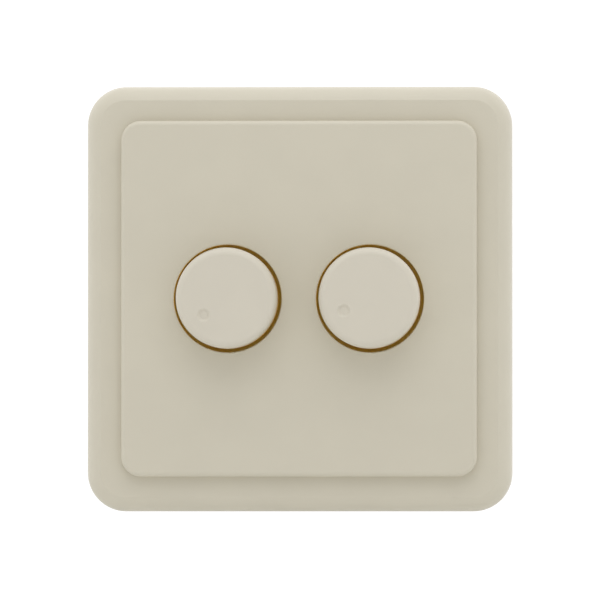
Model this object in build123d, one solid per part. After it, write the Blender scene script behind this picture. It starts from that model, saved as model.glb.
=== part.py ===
"""Flush-mounted double rotary dimmer: a square cover frame and centre plate with two push-and-turn knobs,
a steel support ring, and behind it a round-sided housing with two potentiometers with push switches, the
power electronics, three screw terminals and a pair of spreading claws.

Everything is drawn lying on its back: x to the right, y up the wall, z out of the wall towards the user, with
the wall at z = 0. stand_up() turns the finished solids so that the row frame has +Z up, the front facing -Y
and the insert reaching into the wall along +Y. All lengths are millimetres, all angles degrees.
"""

import os
from math import cos, radians

from build123d import *

# ---- driving dimensions ------------------------------------------------------------------------------

# Cover frame
FRAME_SIZE = 80.0
FRAME_CORNER_R = 7.3
FRAME_FACE = 8.5  # height of the frame's front face above the wall
FRAME_EDGE_R = 3.7
FRAME_CREASE = 17.0  # the rounded edge meets the flat face at this angle instead of running out smoothly
FRAME_WALL = 1.8
FRAME_ROOF = 2.0
WINDOW_SIZE = 62.0
WINDOW_CORNER_R = 2.0
COLLAR_WALL = 1.4
COLLAR_FOOT = 2.6  # where the collar round the window ends, just above the support ring
FRAME_RIB_WIDTH = 1.2
FRAME_RIB_FOOT = 4.0
FRAME_RIB_PITCH = 22.0

# Centre plate
PLATE_SIZE = 66.9
PLATE_CORNER_R = 3.7
PLATE_TOP = 11.0
PLATE_EDGE_R = 0.85
PLATE_WALL = 1.6
SKIRT_SIZE = 61.4
SKIRT_CORNER_R = 1.7
SKIRT_WALL = 1.2
SKIRT_FOOT = 5.4

# Knobs, and the wells that they sink into
KNOB_PITCH = 26.75
KNOB_R = 9.43
KNOB_TOP = 20.0
KNOB_FOOT = 7.4
KNOB_EDGE_R = 1.35
KNOB_WALL = 1.4
KNOB_ROOF = 1.8
KNOB_RIB_FOOT = 12.0
HUB_R = 4.4
HUB_FOOT = 9.0
WELL_R = 10.12
WELL_WALL = 1.3
WELL_FLOOR = (3.0, 4.4)
WELL_RIB_WIDTH = 1.1
WELL_RIB_FOOT = 6.5
WELL_RIB_LENGTH = 9.0
DOT_R = 1.25
DOT_FLOOR_R = 0.75
DOT_DEPTH = 0.38
DOT_RADIUS = 5.3  # from the knob's axis to the dot
DOT_ANGLE = {"left": 218.0, "right": 207.5}  # where the dot stands at rest, anticlockwise from +x
PUSH_TRAVEL = 1.6

# Spindle and its threaded bushing
SPINDLE_R = 3.0
SPINDLE_TIP = 17.2
SPINDLE_FLAT = 1.5  # distance of the flat from the axis
SPINDLE_FLAT_FOOT = 8.8
KEYED_WIDTH = 4.4  # across the two flats that drive the rotor
KEYED_TOP = -2.0
COLLAR_R = 3.8
BUSHING_R = 4.95
BUSHING_TOP = 7.0
BUSHING_FLANGE_R = 7.0
RUNNING_GAP = 0.05
NUT_ACROSS_FLATS = 12.0
PLATE_NUT_HEIGHT = 2.2

# Support ring and heat sink
RING_SIZE = 71.0
RING_CORNER_R = 6.0
RING_BACK = 0.3  # the ring stands on four pads, just clear of the wall
RING_TOP = 1.3
BOX_SCREW_PITCH = 60.0
BOX_SLOT_WIDTH = 3.6
BOX_SLOT_LENGTH = 5.6
RING_RELIEF = (7.0, 25.0)  # side of the square holes, and how far they stand from the middle
RING_NOTCH = (3.0, 6.0, 11.0)  # depth and width of the edge notches, and how far they stand from the middle
STIFFENER = (30.0, 2.4, 0.8)  # length, width and height of the pressed ribs above and below
STIFFENER_Y = 25.4
FREE_GAP = 0.15  # round anything that passes through a sheet
HEAT_SINK_BACK = -1.5

# Housing
HOUSING_R = 27.0
HOUSING_WIDTH = 44.8
HOUSING_HEIGHT = 47.0
HOUSING_BACK = -31.5
HOUSING_WALL = 1.2
HOUSING_FLOOR = 1.4
MARK_PANEL = (27.0, 7.0, 0.3)  # width, height and depth of the sunk panel on the back
MARK_PANEL_Y = -7.0
BOARD_FRONT = -16.0
BOARD_BACK = -17.6
SCREW_POSTS = ((-18.0, 16.6), (18.0, 16.6), (-13.0, -20.6), (13.0, -20.6))
POST_R = 2.4
BOARD_RESTS = ((-17.0, -9.0), (17.0, -9.0), (-14.0, 17.0), (14.0, 17.0))
BOARD_REST_SIZE = 2.4
VENT_X = (-12.0, -6.0, 0.0, 6.0, 12.0)
VENT_WIDTH = 2.0
VENT = (-9.0, -3.5)

# Potentiometer and push switch, both behind the heat sink
POT_SIZE = 15.0
POT_FRONT = -2.7
POT_BACK = -8.6
POT_CAVITY_R = 6.6
WAFER_FRONT = -7.8
ROTOR_R = 6.2
ROTOR_FRONT = -4.2
ROTOR_BACK = -6.0
SWITCH_SIZE = 13.0
SWITCH_CAVITY_R = 5.0
SWITCH_FLOOR = -15.2
PLUNGER_R = 4.6
PLUNGER_FRONT = -9.6
PLUNGER_BACK = -12.0
SPRING_OUTER_R = 2.6
SPRING_INNER_R = 2.1
CONTACT_Y = 3.7
CONTACT_SIZE = 1.4
BRIDGE_THICKNESS = 0.3
PIN_X = (-2.5, 0.0, 2.5)
PIN_Y = -6.9

# Terminals: rising cages on captive screws, in a row along the bottom edge
TERMINAL_X = (-9.0, 0.0, 9.0)
TERMINAL_Y = -15.5
TERMINAL_BLOCK = (33.6, 12.4, -16.8)  # width, height and middle of the block that the cells are cut from
CAGE_WIDTH = 6.2
CAGE_BORE = 4.6
CAGE_LENGTH = 6.2
CAGE_FRONT = -17.9
CAGE_BACK = -25.6
CAGE_ROOF = 0.9
CAGE_NUT = 1.4
STRIP_FRONT = -23.2
STRIP_BACK = -24.0
TERMINAL_SCREW_R = 1.75
TERMINAL_HEAD_R = 2.6
TERMINAL_HEAD = (-31.3, -29.4)

# Spreading claws: a screw held in the ring drives a barrel nut, which carries the claw up a ramp
CLAW_X = 24.8
CLAW_SCREW_R = 1.25
CLAW_SCREW_END = -24.0
CLAW_HEAD_R = 2.1
CLAW_HEAD = (1.35, 2.65)
CLAW_NUT_Z = -19.2
CLAW_NUT_R = 1.9
CLAW_NUT_LENGTH = 7.6
CLAW_SHEET = 0.7
CLAW_ARM = 12.0
CLAW_ARM_Y = (1.9, 3.9)
CLAW_TIP_X = 27.2
CLAW_RECESS = 0.5
CLAW_RECESS_HEIGHT = 11.0
RAMP_Y = 3.0
RAMP_WIDTH = 2.4
RAMP_RISE = 3.8
RAMP = (-7.0, -1.0)

# Minimum-brightness trimmers, reached through the ring
TRIMMER_Y = 4.6
TRIMMER_SIZE = 6.4
TRIMMER_TOP = -11.5
TRIMMER_SHAFT_R = 1.3
TRIMMER_TIP = 0.9
TRIMMER_DISC_R = 2.6
TRIMMER_DISC_HEIGHT = 1.5
TRIMMER_HOLE_R = 1.8

# Power electronics
TRIAC_WIDTH = 10.0
TRIAC_LENGTH = 15.4
TRIAC_BODY_LENGTH = 9.2
TRIAC_Y = -12.9
TRIAC_START_X = 0.4
TRIAC_TAB = 1.3
TRIAC_BACK = -6.3
PAD_THICKNESS = 0.3
TRIAC_SCREW_X = 3.4
TRIAC_HOLE_R = 1.85
TRIAC_LEG_PITCH = 2.54
CHOKE_X = 7.6
CHOKE_Y = 15.2
CHOKE_BACK = -15.9
CORE_OUTER_R = 6.0
CORE_INNER_R = 3.4
CORE_HEIGHT = 5.4
WINDING_LAYER = 0.8  # thickness of the wire's layer round the core
RESISTOR_PLACES = ((-4.9, -4.1), (-4.9, 4.1), (4.9, -4.1), (4.9, 4.1))
RESISTOR_Z = -14.8
FUSE_Y = 8.5
FUSE_Z = -21.0
FUSE_LENGTH = 20.0
FUSE_CAP_LENGTH = 4.4
FUSE_CAP_R = 2.6
FUSE_GLASS_R = 2.3

SIDES = {"left": -1, "right": 1}
QUARTERS = (0, 90, 180, 270)
DIAGONALS = (45, 135, 225, 315)
LOW = (Align.CENTER, Align.CENTER, Align.MIN)


# ---- helpers -----------------------------------------------------------------------------------------


def prism(outline, low, high):
    """A flat outline pulled up from depth low to depth high."""
    return Pos(0, 0, low) * extrude(outline, high - low)


def block(width, height, low, high, x=0.0, y=0.0):
    return Pos(x, y, low) * Box(width, height, high - low, align=LOW)


def disc(radius, low, high, x=0.0, y=0.0):
    return Pos(x, y, low) * Cylinder(radius, high - low, align=LOW)


def tube(outer, inner, low, high, x=0.0, y=0.0):
    return disc(outer, low, high, x, y) - disc(inner, low, high, x, y)


def bar_x(radius, start, end, y, z):
    """A round bar along x."""
    return Pos(start, y, z) * Rot(0, 90, 0) * Cylinder(radius, end - start, align=LOW)


def bar_y(radius, length, x, z, y=0.0):
    """A round bar along y, centred on y."""
    return Pos(x, y, z) * Rot(90, 0, 0) * Cylinder(radius, length)


def rounded(size, radius):
    return RectangleRounded(size, size, radius)


def housing_outline(inset=0.0):
    """The housing's plan: a circle cut by four flats, drawn inset from the outside."""
    box = Rectangle(HOUSING_WIDTH - 2 * inset, HOUSING_HEIGHT - 2 * inset)
    return Circle(HOUSING_R - inset) & box


def top_edges(shape):
    return shape.edges().group_by(Axis.Z)[-1]


def bottom_edges(shape):
    return shape.edges().group_by(Axis.Z)[0]


def cross_recess(radius, low, high, width):
    """The cutter for a crossed driver recess in a screw head."""
    return block(2 * radius, width, low, high) + block(width, 2 * radius, low, high)


def group(*parts):
    """Several separate shapes as one node."""
    return Compound([solid for part in parts for solid in part.solids()])


def knob_axes():
    """The two places on the front where a knob, its bushing and its potentiometer sit."""
    return [Pos(sign * KNOB_PITCH / 2, 0, 0) for sign in SIDES.values()]


# ---- what the user sees ------------------------------------------------------------------------------


def cover_frame():
    """The outer frame: a thin square shell with a rounded edge, a window and a collar round the window."""
    cut_off = FRAME_EDGE_R * (1 - cos(radians(FRAME_CREASE)))
    body = prism(rounded(FRAME_SIZE, FRAME_CORNER_R), 0, FRAME_FACE + cut_off)
    body = fillet(top_edges(body), FRAME_EDGE_R)
    body -= block(FRAME_SIZE, FRAME_SIZE, FRAME_FACE, FRAME_FACE + cut_off)
    cavity_size = FRAME_SIZE - 2 * FRAME_WALL
    cavity_top = FRAME_FACE - FRAME_ROOF
    body -= prism(rounded(cavity_size, FRAME_CORNER_R - FRAME_WALL), 0, cavity_top)
    collar_size = WINDOW_SIZE + 2 * COLLAR_WALL
    body += prism(rounded(collar_size, WINDOW_CORNER_R + COLLAR_WALL), COLLAR_FOOT, cavity_top)
    body -= prism(rounded(WINDOW_SIZE, WINDOW_CORNER_R), 0, FRAME_FACE)
    rib_length = (cavity_size - collar_size) / 2
    rib_centre = (cavity_size + collar_size) / 4
    rib = block(rib_length, FRAME_RIB_WIDTH, FRAME_RIB_FOOT, cavity_top, rib_centre)
    for angle in QUARTERS:
        for step in (-1, 0, 1):
            body += Rot(0, 0, angle) * Pos(0, step * FRAME_RIB_PITCH, 0) * rib
    return body


def center_plate():
    """The plate over the window, with a locating skirt and a floored well for each knob."""
    body = prism(rounded(PLATE_SIZE, PLATE_CORNER_R), FRAME_FACE, PLATE_TOP)
    body = fillet(top_edges(body), PLATE_EDGE_R)
    inner = PLATE_SIZE - 2 * PLATE_WALL
    roof = PLATE_TOP - PLATE_WALL
    body -= prism(rounded(inner, PLATE_CORNER_R - PLATE_WALL), FRAME_FACE, roof)
    skirt = rounded(SKIRT_SIZE, SKIRT_CORNER_R)
    skirt -= rounded(SKIRT_SIZE - 2 * SKIRT_WALL, SKIRT_CORNER_R - SKIRT_WALL + 0.3)
    body += prism(skirt, SKIRT_FOOT, roof)
    rib_x = WELL_R + (WELL_WALL + WELL_RIB_LENGTH) / 2
    rib = block(WELL_RIB_LENGTH, WELL_RIB_WIDTH, WELL_RIB_FOOT, roof, rib_x)
    for axis in knob_axes():
        body += axis * disc(WELL_R + WELL_WALL, WELL_FLOOR[0], roof)
        for angle in DIAGONALS:
            body += axis * Rot(0, 0, angle) * rib
    for axis in knob_axes():
        body -= axis * disc(WELL_R, WELL_FLOOR[1], PLATE_TOP)
        body -= axis * disc(BUSHING_R + FREE_GAP, *WELL_FLOOR)
    rims = [e for e in body.edges().filter_by(GeomType.CIRCLE) if is_well_rim(e)]
    return fillet(rims, 0.2)


def is_well_rim(edge):
    return abs(edge.radius - WELL_R) < 0.01 and abs(edge.center().Z - PLATE_TOP) < 0.01


def bore_outline():
    """The knob's bore: round, with a flat that leaves room for the clip on the spindle's own flat."""
    reach = SPINDLE_R + RUNNING_GAP
    flat = SPINDLE_FLAT + 0.5
    return Circle(reach) & Pos((flat - reach) / 2, 0) * Rectangle(flat + reach, 2 * reach)


def knob():
    """One knob on the z axis, with its dot towards +x."""
    body = disc(KNOB_R, KNOB_FOOT, KNOB_TOP)
    body = fillet(top_edges(body), KNOB_EDGE_R)
    body = fillet(bottom_edges(body), 0.3)
    roof = KNOB_TOP - KNOB_ROOF
    body -= disc(KNOB_R - KNOB_WALL, KNOB_FOOT, roof)
    body += disc(HUB_R, HUB_FOOT, roof)
    web = KNOB_R - KNOB_WALL - HUB_R
    rib = block(web + 0.6, 1.0, KNOB_RIB_FOOT, roof, HUB_R + web / 2)
    for angle in DIAGONALS:
        body += Rot(0, 0, angle) * rib
    body -= prism(bore_outline(), HUB_FOOT, SPINDLE_TIP + 0.3)
    dot = Cone(DOT_FLOOR_R, DOT_R, DOT_DEPTH, align=LOW)
    dot = fillet(bottom_edges(dot), 0.25)
    body -= Pos(DOT_RADIUS, 0, KNOB_TOP - DOT_DEPTH) * dot
    rim = [e for e in body.edges().filter_by(GeomType.CIRCLE) if is_dot_rim(e)]
    return fillet(rim, 0.3)


def is_dot_rim(edge):
    return abs(edge.radius - DOT_R) < 0.01 and abs(edge.center().Z - KNOB_TOP) < 0.01


def knob_clip():
    """The flat steel spring between the knob's bore and the spindle's flat."""
    leaf = block(0.4, 3.4, 9.4, 16.9, SPINDLE_FLAT + 0.24)
    return fillet(leaf.edges().filter_by(Axis.X), 0.4)


def spindle():
    """The shaft: a flat for the knob, a round journal, two flats for the rotor and a collar at the back."""
    body = disc(SPINDLE_R, KEYED_TOP, SPINDLE_TIP)
    body = chamfer(top_edges(body), 0.4)
    cut_x = SPINDLE_FLAT + SPINDLE_R / 2
    body -= block(SPINDLE_R, 3 * SPINDLE_R, SPINDLE_FLAT_FOOT, SPINDLE_TIP, cut_x)
    keyed = Circle(SPINDLE_R) & Rectangle(3 * SPINDLE_R, KEYED_WIDTH)
    collar_top = POT_BACK - 0.02
    body += prism(keyed, collar_top, KEYED_TOP)
    body += disc(COLLAR_R, PLUNGER_FRONT, collar_top)
    return body


# ---- threaded bushings and nuts ----------------------------------------------------------------------


def bushing():
    body = disc(BUSHING_R, HEAT_SINK_BACK, BUSHING_TOP)
    body = chamfer(top_edges(body), 0.4)
    body += disc(BUSHING_FLANGE_R, POT_FRONT, HEAT_SINK_BACK)
    return body - disc(SPINDLE_R + RUNNING_GAP, POT_FRONT, BUSHING_TOP)


def hex_nut(low, high):
    corner_r = NUT_ACROSS_FLATS / 2 / cos(radians(30))
    crown = disc(corner_r, low, high)
    crown = chamfer(crown.edges().filter_by(GeomType.CIRCLE), 0.5)
    nut = prism(RegularPolygon(corner_r, 6), low, high) & crown
    return nut - disc(BUSHING_R + 0.01, low, high)


def hex_nuts():
    """Two nuts hold the bushings in the ring, and two more hold the centre plate on them."""
    inner = hex_nut(RING_TOP, WELL_FLOOR[0])
    outer = hex_nut(WELL_FLOOR[1], WELL_FLOOR[1] + PLATE_NUT_HEIGHT)
    return group(*[axis * nut for nut in (inner, outer) for axis in knob_axes()])


# ---- ring, heat sink and housing ---------------------------------------------------------------------


def ring_holes():
    """What is punched out on each of the four sides: a screw slot, an edge notch and a square hole."""
    notch_depth, notch_width, notch_y = RING_NOTCH
    relief_size, relief_offset = RING_RELIEF
    slot = Pos(BOX_SCREW_PITCH / 2, 0) * SlotOverall(BOX_SLOT_LENGTH, BOX_SLOT_WIDTH)
    notch = Pos(RING_SIZE / 2, notch_y) * Rectangle(notch_depth, notch_width)
    relief = Pos(relief_offset, relief_offset) * RectangleRounded(relief_size, relief_size, 1.5)
    return slot + notch + relief


def support_ring():
    """The stamped steel ring that the box screws hold on the wall, standing on a pad at each corner."""
    body = prism(rounded(RING_SIZE, RING_CORNER_R), RING_BACK, RING_TOP)
    holes = prism(ring_holes(), RING_BACK, RING_TOP)
    for angle in QUARTERS:
        body -= Rot(0, 0, angle) * holes
        body += Rot(0, 0, angle) * disc(1.5, 0, RING_BACK, 31.0, 31.0)
    length, width, height = STIFFENER
    stiffener = prism(RectangleRounded(length, width, 1.0), RING_TOP, RING_TOP + height)
    for sign in SIDES.values():
        body -= disc(CLAW_SCREW_R + FREE_GAP, RING_BACK, RING_TOP, sign * CLAW_X)
        body -= disc(TRIMMER_HOLE_R, RING_BACK, RING_TOP, 0, sign * TRIMMER_Y)
        body += Pos(0, sign * STIFFENER_Y, 0) * stiffener
    for axis in knob_axes():
        body -= axis * disc(BUSHING_R + FREE_GAP, RING_BACK, RING_TOP)
    for x, y in SCREW_POSTS:
        body -= disc(1.35, RING_BACK, RING_TOP, x, y)
    return body


def heat_sink():
    """The aluminium plate behind the ring that carries the triacs, cut away round the screw posts."""
    body = prism(housing_outline(HOUSING_WALL + 0.3), HEAT_SINK_BACK, RING_BACK)
    for axis in knob_axes():
        body -= axis * disc(BUSHING_R + FREE_GAP, HEAT_SINK_BACK, RING_BACK)
    for sign in SIDES.values():
        body -= disc(TRIMMER_HOLE_R, HEAT_SINK_BACK, RING_BACK, 0, sign * TRIMMER_Y)
        body -= disc(1.52, HEAT_SINK_BACK, RING_BACK, sign * TRIAC_SCREW_X, TRIAC_Y)
    corner = 6.0
    for x, y in SCREW_POSTS:
        body -= disc(POST_R + 0.4, HEAT_SINK_BACK, RING_BACK, x, y)
        corner_x = x + (corner / 2 if x > 0 else -corner / 2)
        corner_y = y + (corner / 2 if y > 0 else -corner / 2)
        body -= block(corner, corner, HEAT_SINK_BACK, RING_BACK, corner_x, corner_y)
    return body


def claw_ramp(y):
    """A wedge on the housing's right side that pushes the claw outwards as its nut is drawn forwards."""
    low, high = RAMP
    wall = HOUSING_WIDTH / 2 - CLAW_RECESS
    root = wall - 0.4
    outline = Polyline((root, low), (wall, low), (wall + RAMP_RISE, high), (root, high), close=True)
    wedge = extrude(Plane.XZ * make_face(outline), RAMP_WIDTH)
    return Pos(0, y + RAMP_WIDTH / 2, 0) * wedge


def terminal_cell_walls():
    """The walls between the cages, and the wells that lead a wire into each of them."""
    back = HOUSING_BACK + HOUSING_FLOOR
    front = BOARD_BACK - 0.1
    width, height, middle = TERMINAL_BLOCK
    walls = block(width, height, back, front, 0, middle)
    for x in TERMINAL_X:
        walls -= block(CAGE_WIDTH + 0.4, 9.4, back, front, x, TERMINAL_Y + 1.0)
        walls -= block(CAGE_BORE, 14.0, STRIP_FRONT, CAGE_FRONT - CAGE_ROOF, x, TERMINAL_Y - 2.5)
    return walls & prism(housing_outline(0.5), back, front)


def housing_shell():
    """The cup itself: round with four flats, a recess behind each claw and a sunk panel on the back."""
    body = prism(housing_outline(), HOUSING_BACK, RING_BACK)
    body = fillet(bottom_edges(body), 1.0)
    for sign in SIDES.values():
        recess_x = sign * (HOUSING_WIDTH / 2 + 1.0 - CLAW_RECESS)
        body -= block(2.0, CLAW_RECESS_HEIGHT, HOUSING_BACK, RING_BACK, recess_x, 0)
    width, height, depth = MARK_PANEL
    panel = Pos(0, MARK_PANEL_Y) * RectangleRounded(width, height, 1.0)
    body -= prism(panel, HOUSING_BACK, HOUSING_BACK + depth)
    return body - prism(housing_outline(HOUSING_WALL), HOUSING_BACK + HOUSING_FLOOR, RING_BACK)


def screw_posts():
    """The posts that the four housing screws go into, down to the board, trimmed to the housing's outline."""
    posts = [disc(POST_R, BOARD_FRONT + 0.4, 0, x, y) for x, y in SCREW_POSTS]
    return group(*posts) & prism(housing_outline(), HOUSING_BACK, RING_BACK)


def housing():
    """The cup behind the ring, with screw posts, board rests, terminal cells, vents and the claws' ramps."""
    inner = HOUSING_BACK + HOUSING_FLOOR
    body = housing_shell() + screw_posts() + terminal_cell_walls()
    for x, y in SCREW_POSTS:
        body -= disc(1.0, BOARD_FRONT + 2.0, 0, x, y)
    for x, y in BOARD_RESTS:
        body += block(BOARD_REST_SIZE, BOARD_REST_SIZE, inner, BOARD_BACK, x, y)
    for x in TERMINAL_X:
        body -= disc(TERMINAL_HEAD_R + 0.3, HOUSING_BACK, inner, x, TERMINAL_Y)
        wire_hole = (STRIP_FRONT, CAGE_FRONT - CAGE_ROOF)
        body -= block(CAGE_BORE, 4.0, *wire_hole, x, -HOUSING_HEIGHT / 2 + 0.7)
    for x in VENT_X:
        body -= block(VENT_WIDTH, 4.0, *VENT, x, HOUSING_HEIGHT / 2)
    for y in (-RAMP_Y, RAMP_Y):
        ramp = claw_ramp(y)
        body += ramp
        body += mirror(ramp, Plane.YZ)
    return body


def housing_screws():
    """The four cross-headed screws that hold the housing on the ring."""
    head = disc(2.3, RING_TOP, RING_TOP + 1.2)
    head = chamfer(top_edges(head), 0.5)
    shank = disc(0.98, BOARD_FRONT + 5.0, RING_TOP)
    screw = head + shank - cross_recess(1.3, RING_TOP + 0.4, RING_TOP + 1.3, 0.6)
    return group(*[Pos(x, y, 0) * screw for x, y in SCREW_POSTS])


# ---- potentiometers ----------------------------------------------------------------------------------


def pot_body():
    """The potentiometer's case, open at the back, where the track wafer closes it."""
    body = prism(rounded(POT_SIZE, 2.0), POT_BACK, POT_FRONT)
    body -= disc(POT_CAVITY_R, POT_BACK, POT_FRONT - 1.0)
    return body - disc(SPINDLE_R + 0.3, POT_BACK, POT_FRONT)


def track_wafers():
    wafer = tube(POT_CAVITY_R - 0.02, SPINDLE_R + 0.3, POT_BACK, WAFER_FRONT)
    return group(*[axis * wafer for axis in knob_axes()])


def keyed_bore():
    gap = 2 * RUNNING_GAP
    return Circle(SPINDLE_R + RUNNING_GAP) & Rectangle(3 * SPINDLE_R, KEYED_WIDTH + gap)


def rotor():
    """The disc that the spindle turns and slides through."""
    body = disc(ROTOR_R, ROTOR_BACK, ROTOR_FRONT)
    body += disc(4.2, ROTOR_FRONT, POT_FRONT - 1.1)
    return body - prism(keyed_bore(), ROTOR_BACK, POT_FRONT)


def wiper():
    """The sprung contact behind the rotor: a ring with two feet on the track."""
    body = tube(5.9, 3.7, ROTOR_BACK - 0.4, ROTOR_BACK)
    for angle in (0, 30):
        foot = disc(0.45, WAFER_FRONT + 0.02, ROTOR_BACK - 0.2, 5.1)
        body += Rot(0, 0, angle) * foot
    return body


# ---- push switches -----------------------------------------------------------------------------------


def switch_contact(sign):
    """A fixed contact on the cavity's floor, with its tail through the case to the board."""
    top = PLUNGER_BACK - BRIDGE_THICKNESS - PUSH_TRAVEL - 0.05
    button = block(CONTACT_SIZE, CONTACT_SIZE, SWITCH_FLOOR, top, 0, sign * CONTACT_Y)
    tail = block(0.8, 0.4, BOARD_FRONT, SWITCH_FLOOR, 0, sign * CONTACT_Y)
    return button + tail


def switch_body():
    body = prism(rounded(SWITCH_SIZE, 1.0), BOARD_FRONT, POT_BACK)
    body -= disc(SWITCH_CAVITY_R, SWITCH_FLOOR, POT_BACK)
    for sign in (-1, 1):
        body -= block(0.8, 0.4, BOARD_FRONT, SWITCH_FLOOR, 0, sign * CONTACT_Y)
    return body


def contact_pins():
    """Each switch's two fixed contacts, and the three flat pins of each potentiometer beside them."""
    parts = []
    for axis in knob_axes():
        parts.extend(axis * switch_contact(sign) for sign in (-1, 1))
        parts.extend(axis * block(0.9, 0.4, BOARD_FRONT, POT_BACK, x, PIN_Y) for x in PIN_X)
    return group(*parts)


def plunger():
    """The plastic button that the spindle pushes, with a spigot inside the return spring."""
    body = disc(PLUNGER_R, PLUNGER_BACK, PLUNGER_FRONT)
    return body + disc(SPRING_INNER_R - 0.3, PLUNGER_BACK - 1.2, PLUNGER_BACK)


def contact_bridge():
    """The brass ring behind the plunger that joins the two fixed contacts when it is pushed."""
    return tube(4.5, SPRING_OUTER_R + 0.2, PLUNGER_BACK - BRIDGE_THICKNESS, PLUNGER_BACK)


def return_spring():
    return tube(SPRING_OUTER_R, SPRING_INNER_R, SWITCH_FLOOR, PLUNGER_BACK)


# ---- electronics -------------------------------------------------------------------------------------


def circuit_board():
    return prism(housing_outline(HOUSING_WALL + 0.3), BOARD_BACK, BOARD_FRONT)


def triac_plan(sign, start, end, height):
    """A rectangle on one side of the middle, reaching along x from start to end."""
    return Pos(sign * (start + end) / 2, TRIAC_Y) * Rectangle(end - start, height)


def insulating_pads():
    """The thin pads between the triacs' tabs and the heat sink, a little longer than the tabs."""
    low = HEAT_SINK_BACK - PAD_THICKNESS
    margin = 0.3
    pads = []
    for sign in SIDES.values():
        start, end = TRIAC_START_X - margin, TRIAC_START_X + TRIAC_LENGTH + margin
        plan = triac_plan(sign, start, end, TRIAC_WIDTH)
        hole = disc(TRIAC_HOLE_R, low, HEAT_SINK_BACK, sign * TRIAC_SCREW_X, TRIAC_Y)
        pads.append(prism(plan, low, HEAT_SINK_BACK) - hole)
    return group(*pads)


def triac_leadframe(sign):
    """A triac's metal tab, and its three legs bent back to the board."""
    front = HEAT_SINK_BACK - PAD_THICKNESS
    end = TRIAC_START_X + TRIAC_LENGTH
    plan = triac_plan(sign, TRIAC_START_X, end, TRIAC_WIDTH)
    tab = prism(plan, front - TRIAC_TAB, front)
    tab -= disc(TRIAC_HOLE_R, front - TRIAC_TAB, front, sign * TRIAC_SCREW_X, TRIAC_Y)
    legs = []
    reach, thickness, leg_width, leg_front = 1.5, 0.5, 0.8, -4.5
    for step in (-1, 0, 1):
        y = TRIAC_Y + step * TRIAC_LEG_PITCH
        out_x = sign * (end + reach / 2)
        down_x = sign * (end + reach - thickness / 2)
        out = block(reach, leg_width, leg_front - thickness, leg_front, out_x, y)
        down = block(thickness, leg_width, BOARD_FRONT, leg_front, down_x, y)
        legs.append(out + down)
    return group(tab, *legs)


def triac_leadframes():
    return group(*[triac_leadframe(sign) for sign in SIDES.values()])


def triac_bodies():
    top = HEAT_SINK_BACK - PAD_THICKNESS - TRIAC_TAB
    end = TRIAC_START_X + TRIAC_LENGTH
    bodies = []
    for sign in SIDES.values():
        plan = triac_plan(sign, end - TRIAC_BODY_LENGTH, end, TRIAC_WIDTH)
        body = prism(plan, TRIAC_BACK, top)
        bodies.append(fillet(bottom_edges(body), 0.4))
    return group(*bodies)


def triac_screws():
    """The screws that press the triacs' tabs onto the heat sink, put in from behind."""
    under_head = HEAT_SINK_BACK - PAD_THICKNESS - TRIAC_TAB
    head = disc(2.7, under_head - 1.6, under_head)
    head = fillet(bottom_edges(head), 0.7)
    head -= cross_recess(1.6, under_head - 1.7, under_head - 0.7, 0.7)
    screw = head + disc(1.5, under_head, -0.1)
    return group(*[Pos(sign * TRIAC_SCREW_X, TRIAC_Y, 0) * screw for sign in SIDES.values()])


def choke_core():
    low = CHOKE_BACK + WINDING_LAYER
    return tube(CORE_OUTER_R, CORE_INNER_R, low, low + CORE_HEIGHT)


def choke_winding():
    """The layer of wire all round the core."""
    outer = CORE_OUTER_R + WINDING_LAYER
    inner = CORE_INNER_R - WINDING_LAYER
    shell = tube(outer, inner, CHOKE_BACK, CHOKE_BACK + CORE_HEIGHT + 2 * WINDING_LAYER)
    return shell - choke_core()


def choke_pair(shape):
    return group(*[Pos(sign * CHOKE_X, CHOKE_Y, 0) * shape for sign in SIDES.values()])


def film_capacitors():
    cans = []
    for sign in SIDES.values():
        can = block(13.0, 5.4, BOARD_FRONT, -7.4, sign * 7.9, -11.9)
        cans.append(fillet(can.edges(), 0.4))
    return group(*cans)


def electrolytic_capacitor():
    can = bar_x(3.1, -6.0, 6.0, -18.4, -12.8)
    return fillet(can.edges().filter_by(GeomType.CIRCLE), 0.5)


def resistors():
    """Four axial resistors lying beside the trimmers, each a waisted body with two bent wires."""
    waist_r, bead_r, wire_r = 0.85, 1.1, 0.25
    body = bar_y(waist_r, 3.6, 0, RESISTOR_Z)
    for end in (-1, 1):
        body += bar_y(bead_r, 1.2, 0, RESISTOR_Z, end * 1.4)
        body += bar_y(wire_r, 0.8, 0, RESISTOR_Z, end * 2.15)
        body += disc(wire_r, BOARD_FRONT, RESISTOR_Z, 0, end * 2.4)
    return group(*[Pos(x, y, 0) * body for x, y in RESISTOR_PLACES])


def fuse_glass():
    half = FUSE_LENGTH / 2 - 1.0
    glass = bar_x(FUSE_GLASS_R, -half, half, FUSE_Y, FUSE_Z)
    return glass - bar_x(FUSE_GLASS_R - 0.5, -half, half, FUSE_Y, FUSE_Z)


def fuse_caps():
    """The cups on the ends of the glass, with the fuse wire between them."""
    half = FUSE_LENGTH / 2
    caps = []
    for sign in (-1, 1):
        start, end = sorted((sign * half, sign * (half - FUSE_CAP_LENGTH)))
        inner, mouth = sorted((sign * (half - 0.6), sign * (half - FUSE_CAP_LENGTH)))
        cap = bar_x(FUSE_CAP_R, start, end, FUSE_Y, FUSE_Z)
        cap -= bar_x(FUSE_GLASS_R + 0.02, inner, mouth, FUSE_Y, FUSE_Z)
        caps.append(cap)
    wire = bar_x(0.15, -half + 0.6, half - 0.6, FUSE_Y, FUSE_Z)
    return group(caps[0] + caps[1] + wire)


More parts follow.
